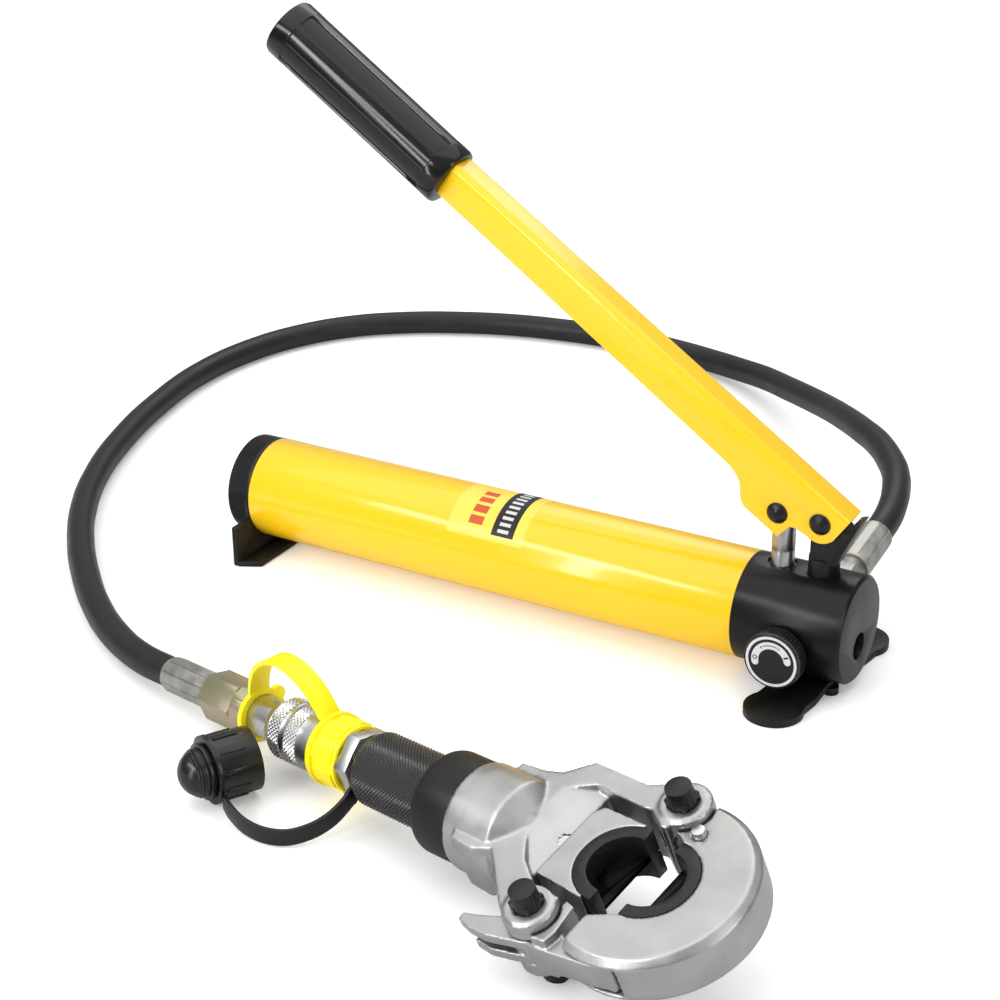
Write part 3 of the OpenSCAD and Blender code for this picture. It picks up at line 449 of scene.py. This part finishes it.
def knurl_band(radius, start, end, pitch):
    """The rows of a diamond-knurled band between two heights, at the radius of its valleys."""
    rows = round(PYRAMID * (end - start) / pitch)
    return [(radius, start + (end - start) * row / rows) for row in range(rows + 1)]


def knurled_lathe(name, profile, bands, count, depth, place):
    """A turned piece with `count` pyramids round each of its knurled bands, which are ranges of rows."""
    knurled = {row for band in bands for row in band}

    def diamond(radius, turn, row):
        if row not in knurled:
            return radius
        across = round(turn / (2 * math.pi) * PYRAMID * count)
        rising = triangle_wave((across + row) / PYRAMID)
        falling = triangle_wave((across - row) / PYRAMID)
        return radius + depth * min(rising, falling) ** PYRAMID_POWER

    return lathe(name, profile, PYRAMID * count, place, angle=30, radius_at=diamond, pyramids=True)


def applied(obj):
    """Replaces an object's mesh with the result of its modifiers."""
    shaped = bpy.data.meshes.new_from_object(obj.evaluated_get(bpy.context.evaluated_depsgraph_get()))
    obj.modifiers.clear()
    old = obj.data
    obj.data = shaped
    bpy.data.meshes.remove(old)
    return obj


def cad_copy(node):
    """A welded copy of a CAD node's mesh."""
    mesh = nodes[node].data.copy()
    mesh.materials.clear()
    obj = linked(node + "_finished", mesh)
    weld(mesh, 0.002 * MM)
    if "sharp_face" in mesh.attributes:
        mesh.attributes.remove(mesh.attributes["sharp_face"])
    return obj


def softened(node, width):
    """The CAD node with its sharp edges rounded over, `width` mm wide."""
    obj = cad_copy(node)
    flat = math.radians(1.5)
    work = bmesh.new()
    work.from_mesh(obj.data)
    bmesh.ops.dissolve_limit(work, angle_limit=flat, verts=work.verts, edges=work.edges)
    work.to_mesh(obj.data)
    work.free()
    bevel = obj.modifiers.new("rounded", "BEVEL")
    bevel.width = width * MM
    bevel.segments = 2
    bevel.limit_method = "ANGLE"
    bevel.angle_limit = math.radians(30)
    applied(obj)
    shade(obj.data, 32)
    return dress(obj, node)


def forged(node, voxel, steps):
    """The CAD node with every edge and corner flowed round, as a forging or casting has them."""
    obj = cad_copy(node)
    remesh = obj.modifiers.new("remesh", "REMESH")
    remesh.mode = "VOXEL"
    remesh.voxel_size = voxel * MM
    smooth = obj.modifiers.new("smooth", "SMOOTH")
    smooth.factor = 0.5
    smooth.iterations = steps
    applied(obj)
    shade(obj.data, 60)
    return dress(obj, node)


# ---- pump ----

def add_rear_cap():
    """The rear cap: a diamond-knurled rim, and a plain spigot that reaches into the barrel."""
    low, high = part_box("rear_end_cap")
    back = low.x / MM
    past_foot = 2.9
    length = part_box("rear_foot")[0].x / MM - back + past_foot
    radius = (high.z - low.z) / 2 / MM
    hole = 5.2
    spigot = 24.9
    spigot_end = length + 13.1
    count = 96
    depth = 0.7
    rim = [(hole, 0), (radius - 2.2, 0), (radius - 1, 0.5)]
    band = knurl_band(radius - depth, 1, length - 0.4, 2 * math.pi * radius / count)
    profile = rim + band + [(radius - 0.8, length - 0.2), (radius - 1.2, length)]
    profile += [(spigot, length), (spigot, spigot_end), (hole, spigot_end), rim[0]]
    # The band's last row stays in the valleys, next to the barrel
    knurled = range(len(rim), len(rim) + len(band) - 1)
    cap = knurled_lathe("rear_cap_knurled", profile, [knurled], count, depth, on_pump_axis(back))
    return dress(cap, "rear_end_cap")


FILM_THICKNESS = 0.05


def label_patch(name, along, around, lift, finish):
    """A film patch on the barrel, between two stations and two angles, `lift` mm off the paint."""
    start, end = around
    degrees_per_step = 3
    steps = max(3, int(abs(end - start) / degrees_per_step))
    points = []
    for step in range(steps + 1):
        turn = math.radians(start + (end - start) * step / steps)
        for r in (BARREL_RADIUS + lift, BARREL_RADIUS + lift + FILM_THICKNESS):
            points += [(x, -r * math.cos(turn), r * math.sin(turn)) for x in along]
    faces = []
    for a in range(0, 4 * steps, 4):
        b = a + 4
        faces += [(a, a + 1, b + 1, b), (a + 2, b + 2, b + 3, a + 3), (a, b, b + 2, a + 2),
                  (a + 1, a + 3, b + 3, b + 1)]
    last = 4 * steps
    faces += [(0, 2, 3, 1), (last, last + 1, last + 3, last + 2)]
    patch = mesh_piece(name, points, faces, Matrix.Translation((0, 0, PUMP_AXIS_HEIGHT)), angle=30)
    return dress(patch, "reservoir_barrel", finish, replaces=False)


def add_label():
    """A plain film label over the barrel: a pale panel, a dark band, four red blocks and a row of ticks."""
    label_patch("label_panel", (-206, -159), (27, 153), 0.03, FINISHES["label_pale"])
    label_patch("label_band", (-179, -165.5), (34, 146), 0.09, FINISHES["label_black"])
    blocks = ((41.5, 51.5), (55.5, 65.5), (70, 78), (82, 90))
    for number, around in enumerate(blocks):
        label_patch(f"label_mark_{number}", (-194.3, -185.7), around, 0.09, FINISHES["label_red"])
    ticks = 13
    first_tick = 38
    tick_pitch = 8
    tick_width = 4
    for number in range(ticks):
        start = first_tick + tick_pitch * number
        around = (start, start + tick_width)
        label_patch(f"label_tick_{number}", (-175.6, -169), around, 0.15, FINISHES["label_white"])


def add_grip():
    """The hand grip: plain collars at both ends and eight shallow panels between narrow ribs."""
    lever_angle = math.radians(34.5)
    back = Vector((-math.cos(lever_angle), 0, math.sin(lever_angle)))
    up = Vector((math.sin(lever_angle), 0, math.cos(lever_angle)))
    turn = Matrix((up, back.cross(up), back)).transposed().to_4x4()
    pivot = Vector(joints["lever_pivot"]["pos_m"])
    along_lever = 259
    below_pivot = 3.8
    place = Matrix.Translation(pivot + (along_lever * back - below_pivot * up) * MM) @ turn
    low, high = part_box("lever_grip")
    radius = (high.y - low.y) / 2 / MM
    length = 121
    hole = 9.6
    collar = 11
    collar_ease = 0.7
    panels = 8
    panel_length = length - 2 * collar
    panel_rows = 12
    panel_depth = 0.95
    rib = 0.13
    flank = 0.035
    profile = [(hole, 0), (radius - 2.4, 0), (radius - 0.7, 0.6), (radius, 2.2),
               (radius, collar - collar_ease)]
    first = len(profile)
    profile += [(radius, collar + panel_length * row / panel_rows) for row in range(panel_rows + 1)]
    last = len(profile) - 1
    profile += [(radius, length - collar + collar_ease), (radius, length - 2.2),
                (radius - 0.7, length - 0.6), (radius - 2.2, length)]

    def panelled(r, turned, row):
        if not first <= row <= last:
            return r
        share = (turned / (2 * math.pi) * panels) % 1
        step = min(1, max(0, (min(share, 1 - share) - rib) / flank))
        return r - panel_depth * step * step * (3 - 2 * step)

    grip = lathe("grip_panelled", profile, 40 * panels, place, angle=40, radius_at=panelled)
    return dress(grip, "lever_grip")


def add_knob():
    """The release knob: a fluted rim, a raised lip and a recess for the dial."""
    low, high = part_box("release_knob")
    centre = Vector(joints["release_knob_turn"]["pos_m"])
    place = Matrix.Translation((centre.x, low.y, centre.z)) @ Matrix.Rotation(math.radians(-90), 4, "X")
    radius = (high.x - low.x) / 2 / MM
    depth = (high.y - low.y) / MM
    spindle_hole = 5.3
    flutes = 56
    flute_depth = 0.55
    flute_start = 1.3
    flute_length = depth - 2
    rows = 8
    profile = [(12.0, 0.45), (14.1, 0.45), (14.15, 0), (14.5, 0), (14.6, 0.6), (radius - 0.7, 0.75)]
    first = len(profile)
    profile += [(radius, flute_start + flute_length * row / rows) for row in range(rows + 1)]
    last = len(profile) - 1
    profile += [(radius - 0.8, depth), (spindle_hole, depth)]

    def fluted(r, turn, row):
        if not first <= row <= last:
            return r
        return r - flute_depth * (1 - triangle_wave(turn / (2 * math.pi) * flutes))

    knob = lathe("knob_fluted", profile, 6 * flutes, place, angle=40, radius_at=fluted)
    return dress(knob, "release_knob")


def arc(radius, start, end, steps):
    """Points on a circle from one angle to another."""
    turns = [math.radians(start + (end - start) * step / steps) for step in range(steps + 1)]
    return [(radius * math.cos(turn), radius * math.sin(turn)) for turn in turns]


def round_end(middle, half, where, facing):
    """The half circle that rounds an arc's end at the angle `where`, and starts out towards `facing`."""
    turn = math.radians(where)
    swings = [math.radians(facing + 180 * step / 8) for step in range(1, 8)]
    return [(middle * math.cos(turn) + half * math.cos(swing),
             middle * math.sin(turn) + half * math.sin(swing)) for swing in swings]


def printed(name, outline, place, lift, faces, finish):
    """A thin print on the release dial, `lift` mm in front of its face."""
    points = [(x, y, z) for z in (lift, lift + FILM_THICKNESS) for x, y in outline]
    return dress(mesh_piece(name, points, faces, place, angle=30), "release_dial", finish, replaces=False)


def printed_ring(name, place, inner, outer, lift, finish):
    """A full ring."""
    steps = 90
    outline = arc(outer, 0, 360, steps) + arc(inner, 360, 0, steps)
    count = len(outline)
    faces = []
    for a in range(steps):
        b = a + 1
        c, d = count - 2 - a, count - 1 - a
        faces += [(a, b, c, d), tuple(v + count for v in (d, c, b, a))]
        faces += [(a, a + count, b + count, b), (d, c, c + count, d + count)]
    return printed(name, outline, place, lift, faces, finish)


def printed_arc(name, place, inner, outer, start, end, lift, finish, round_ends=False):
    """A part of a ring, with square or round ends."""
    steps = max(6, int(abs(end - start) / 4))
    middle = (inner + outer) / 2
    half = (outer - inner) / 2
    outline = arc(outer, start, end, steps)
    if round_ends:
        outline += round_end(middle, half, end, end)
    outline += arc(inner, end, start, steps)
    if round_ends:
        outline += round_end(middle, half, start, start + 180)
    count = len(outline)
    faces = [tuple(range(count)), tuple(range(2 * count - 1, count - 1, -1))]
    faces += [(i, (i + 1) % count, (i + 1) % count + count, i + count) for i in range(count)]
    return printed(name, outline, place, lift, faces, finish)


def add_dial_marks():
    """Generic marks on the release dial: a pale ring, an arc with arrows, a closed mark and an open mark."""
    white = FINISHES["label_white"]
    black = FINISHES["label_black"]
    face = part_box("release_dial")[0].y
    centre = Vector(joints["release_knob_turn"]["pos_m"])
    x_right = Vector((1, 0, 0))
    z_up = Vector((0, 0, 1))
    outward = Vector((0, -1, 0))
    turn = Matrix((x_right, z_up, outward)).transposed().to_4x4()
    place = Matrix.Translation((centre.x, face, centre.z)) @ turn
    over = 0.06
    printed_ring("dial_ring", place, inner=12.3, outer=13.75, lift=0.0, finish=white)
    printed_arc("dial_arc", place, inner=6.9, outer=10.7, start=12, end=192, lift=0.0, finish=white,
                round_ends=True)
    printed_arc("dial_arrow_line", place, inner=8.6, outer=9.0, start=70, end=125, lift=over, finish=black)
    printed_arc("dial_closed_mark", place, inner=7.5, outer=10.1, start=24, end=30, lift=over, finish=black)
    middle = 8.8
    turned = math.radians(176)
    spot = Matrix.Translation((middle * math.cos(turned) * MM, middle * math.sin(turned) * MM, 0))
    printed_ring("dial_open_mark", place @ spot, inner=0.75, outer=1.25, lift=over, finish=black)
    arrow_half = 0.8
    arrow_length = 5
    for name, where, way in (("dial_arrow_a", 66, -1), ("dial_arrow_b", 129, 1)):
        tip = math.radians(where + arrow_length * way)
        base = math.radians(where)
        corners = ((middle, tip), (middle + arrow_half, base), (middle - arrow_half, base))
        outline = [(r * math.cos(a), r * math.sin(a)) for r, a in corners]
        faces = [(0, 1, 2), (5, 4, 3), (0, 3, 4, 1), (1, 4, 5, 2), (2, 5, 3, 0)]
        printed(name, outline, place, over, faces, black)


# ---- coupler and press head ----

def add_lock_collar():
    """The screw collar: a coned nose, two diamond-knurled bands and smooth bands between them."""
    station = -242
    length = 37.5
    radius = 15.75
    count = 44
    depth = 0.7
    pitch = 2 * math.pi * 15.8 / count
    thread = 10.7
    bore = 11.2
    thread_end = 12
    nose = [(thread, 0), (11.4, 0.4), (13.2, 4), (14.9, 6.6), (15.2, 7.2)]
    first_band = knurl_band(radius - depth, 7.6, 15.2, pitch)
    groove = [(15.0, 15.5), (14.7, 16.4), (14.7, 18.4), (15.0, 19.2)]
    second_band = knurl_band(radius - depth, 19.6, 27.6, pitch)
    tail = [(15.0, 28), (14.8, 29), (14.8, 32), (15.7, 32.6), (radius, length - 0.8), (15.2, length)]
    inside = [(bore, length), (bore, thread_end), (thread, thread_end), (thread, 0)]
    first = len(nose)
    second = first + len(first_band) + len(groove)
    bands = [range(first, first + len(first_band)), range(second, second + len(second_band))]
    profile = nose + first_band + groove + second_band + tail + inside
    collar = knurled_lathe("lock_collar_knurled", profile, bands, count, depth, on_head_axis(station))
    return dress(collar, "lock_collar")


def add_head_cylinder():
    """The hydraulic cylinder, diamond-knurled between its rounded rear end and the rubber collar."""
    start = -174
    end = -126
    length = end - start
    radius = 18
    crest = radius + 0.1
    count = 58
    depth = 0.55
    port = 8.3
    port_depth = 12
    bore = 14
    floor = 20
    rear = [(port, 0), (13, 0), (15, 0.5), (16.4, 1.6), (17.2, 3.2)]
    band = knurl_band(crest - depth, 4.4, length, 2 * math.pi * radius / count)
    inside = [(bore, length), (bore, floor), (port, port_depth), (port, 0)]
    bands = [range(len(rear), len(rear) + len(band))]
    profile = rear + band + inside
    cylinder = knurled_lathe("head_cylinder_knurled", profile, bands, count, depth, on_head_axis(start))
    return dress(cylinder, "head_cylinder")


def add_ferrule(node, place, length):
    """A crimped hose ferrule: ten pressed flats with a seam at each corner, and a plain lip at both ends."""
    sides = 10
    steps_per_side = 24
    radius = 9.6
    hole = 8.1
    seam_depth = 0.55
    seam_share = 0.045
    profile = [(hole, 0), (8.7, 0), (8.9, 0.4), (8.9, 1.3)]
    first = len(profile)
    profile += [(9.5, 1.9), (radius, 2.4), (radius, length - 2.4)]
    last = len(profile) - 1
    profile += [(9.3, length - 1.2), (8.8, length - 0.3), (hole, length)]

    def crimped(r, turn, row):
        if not first <= row <= last:
            return r
        share = (turn * sides / (2 * math.pi)) % 1
        from_middle = (share - 0.5) * 2 * math.pi / sides
        flat = r * math.cos(math.pi / sides) / math.cos(from_middle)
        return flat - (seam_depth if min(share, 1 - share) < seam_share else 0)

    around = sides * steps_per_side
    return dress(lathe(node + "_crimped", profile, around, place, angle=25, radius_at=crimped), node)


def add_ferrules():
    """The ferrules at the hose's two ends, on the pump's outlet and behind the coupler's nut."""
    outlet_reach = 50
    outlet_length = 34
    hose_end = -330
    coupler_length = 36.9
    add_ferrule("pump_ferrule", on_port_axis(outlet_reach), outlet_length)
    add_ferrule("coupler_ferrule", on_head_axis(hose_end), coupler_length)


def add_cap_threads():
    """Thread ridges on the black cap's plug, where it lies on the surface."""
    heading = 60.5
    plug_end = Vector((-208, -259.2, 16.8)) * MM
    place = Matrix.Translation(plug_end) @ Matrix.Rotation(math.radians(heading), 4, "Z") @ SIDEWAYS
    dome = 11.8
    core = 9.4
    ridges = 6
    ridge_pitch = 1.3
    ridge_height = 0.5
    over_plug = 0.05
    shoulder = 13.9
    profile = [(core, 5.2)]
    for ridge in range(ridges):
        base = 5.9 + ridge_pitch * ridge
        root = math.sqrt(dome ** 2 - max(0, dome - base) ** 2) + over_plug
        crest = root + ridge_height
        profile += [(root, base), (crest, base + 0.4), (crest, base + 0.65), (root + 0.05, base + 1.05)]
    profile += [(11.3, shoulder), (core, shoulder), profile[0]]
    threads = lathe("black_cap_threads", profile, around=96, place=place, angle=40)
    return dress(threads, "black_cap", replaces=False)


# The voxel in mm and the smoothing steps of each forged or cast node
FORGED = {"head_fork": (0.7, 9), "c_head": (0.6, 10), "latch": (0.5, 5), "moving_jaw": (0.5, 4)}
# The width in mm of the rounded edges, on the other nodes that have them
EDGES = {
    "pump_block": 0.6, "reservoir_barrel": 0.4, "front_foot": 0.8, "rear_foot": 0.5,
    "fulcrum_bracket": 0.6, "lever_arm": 0.7, "fulcrum_pin": 0.4, "piston_pin": 0.4, "piston_rod": 0.3,
    "outlet_nut": 0.5, "hose_nut": 0.5, "coupler_socket": 0.3, "coupler_plug": 0.6, "yellow_cap": 0.5,
    "yellow_strap": 0.35, "black_cap": 0.5, "black_cap_strap": 0.3, "rubber_collar": 0.6,
    "moving_die": 0.6, "fixed_die": 0.6, "hinge_pin": 0.8, "latch_pin": 0.8, "die_lock_button": 0.4,
    "breather_plug": 0.6, "ram": 0.4,
}


def finish_bare_nodes():
    """Gives its finish to each CAD node that is kept as it is."""
    replaced = {name for obj in bpy.data.objects for name in obj.get("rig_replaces", [])}
    for name, obj in nodes.items():
        if name not in replaced:
            obj.data.materials.clear()
            obj.data.materials.append(FINISHES[slot_of[name]])


def build():
    """Every piece of the object apart from the hose."""
    add_rear_cap()
    add_label()
    add_grip()
    add_knob()
    add_dial_marks()
    add_lock_collar()
    add_head_cylinder()
    add_cap_threads()
    add_ferrules()
    for node, (voxel, steps) in FORGED.items():
        forged(node, voxel, steps)
    for node, width in EDGES.items():
        softened(node, width)
    finish_bare_nodes()


build()


# ---- floor and light ----

FLOOR_HALF = 6
FLOOR_DROP = 0.0002
FLOOR_GLOW = 0.2
FLOOR_REFLECTED = 0.62
SKY_LEVELS = ((0.0, 0.26), (0.25, 0.36), (0.45, 0.55), (1.0, 0.9))
SKY_STRENGTH = 0.85
MIDDLE = (-0.1, -0.05, 0.08)
# Each light's place, aim, width, height and power
LIGHTS = {
    "top_softbox": ((-0.3, 0.1, 1.6), MIDDLE, 3, 2.4, 22),
    "left_strip": ((-0.75, -1.3, 1.0), MIDDLE, 1.5, 0.22, 10),
    "right_strip": ((1.5, -0.5, 0.7), MIDDLE, 0.4, 1.2, 6),
    "back_fill": ((-0.6, 1.7, 1.5), (-0.4, 0.9, 0), 1.2, 1.2, 6),
    "front_strip": ((-0.55, -1.5, 0.35), (-0.15, 0, 0.12), 0.12, 1.3, 7),
}


def floor_material():
    """A pale floor that glows a little, and that reflections see darker, which keeps the gloss contrasty."""
    pale = material("floor_pale", (0.93, 0.93, 0.93), roughness=0.7, spread=0.02, tint=0.005, scale=2)
    tree = pale.node_tree
    surface = tree.nodes["Principled BSDF"]
    surface.inputs["Emission Color"].default_value = (1, 1, 1, 1)
    surface.inputs["Emission Strength"].default_value = FLOOR_GLOW
    path = tree.nodes.new("ShaderNodeLightPath")
    dark = tree.nodes.new("ShaderNodeBsdfDiffuse")
    dark.inputs["Color"].default_value = (FLOOR_REFLECTED, FLOOR_REFLECTED, FLOOR_REFLECTED, 1)
    mix = tree.nodes.new("ShaderNodeMixShader")
    tree.links.new(path.outputs["Is Glossy Ray"], mix.inputs["Fac"])
    tree.links.new(surface.outputs["BSDF"], mix.inputs[1])
    tree.links.new(dark.outputs["BSDF"], mix.inputs[2])
    tree.links.new(mix.outputs["Shader"], tree.nodes["Material Output"].inputs["Surface"])
    return pale


def add_stage():
    """The pale floor, a hair below height 0, where the object rests."""
    mesh = bpy.data.meshes.new("floor")
    corners = [(-FLOOR_HALF, -FLOOR_HALF, 0), (FLOOR_HALF, -FLOOR_HALF, 0),
               (FLOOR_HALF, FLOOR_HALF, 0), (-FLOOR_HALF, FLOOR_HALF, 0)]
    mesh.from_pydata(corners, [], [(0, 1, 2, 3)])
    mesh.materials.append(floor_material())
    floor = linked("floor", mesh)
    floor.location.z = -FLOOR_DROP


def add_world():
    """A studio sky that darkens from overhead to the horizon, so that metal has something to reflect."""
    world = bpy.data.worlds.new("studio")
    bpy.context.scene.world = world
    world.use_nodes = True
    tree = world.node_tree
    place = tree.nodes.new("ShaderNodeTexCoord")
    split = tree.nodes.new("ShaderNodeSeparateXYZ")
    tree.links.new(place.outputs["Generated"], split.inputs["Vector"])
    ramp = tree.nodes.new("ShaderNodeValToRGB")
    ramp.color_ramp.interpolation = "EASE"
    elements = ramp.color_ramp.elements
    for height, _ in SKY_LEVELS[1:-1]:
        elements.new(height)
    for element, (height, level) in zip(elements, SKY_LEVELS):
        element.position = height
        element.color = (level, level, level, 1)
    tree.links.new(split.outputs["Z"], ramp.inputs["Fac"])
    tree.links.new(ramp.outputs["Color"], tree.nodes["Background"].inputs["Color"])
    tree.nodes["Background"].inputs["Strength"].default_value = SKY_STRENGTH


def add_light(name, place, aim, width, height, power):
    """A rectangular studio light that faces its aim."""
    data = bpy.data.lights.new(name, "AREA")
    data.shape = "RECTANGLE"
    data.size = width
    data.size_y = height
    data.energy = power
    light = linked(name, data)
    light.location = place
    light.rotation_euler = (Vector(aim) - Vector(place)).to_track_quat("-Z", "Y").to_euler()


add_stage()
add_world()
for name, settings in LIGHTS.items():
    add_light(name, *settings)
bpy.context.scene.view_settings.view_transform = "Standard"
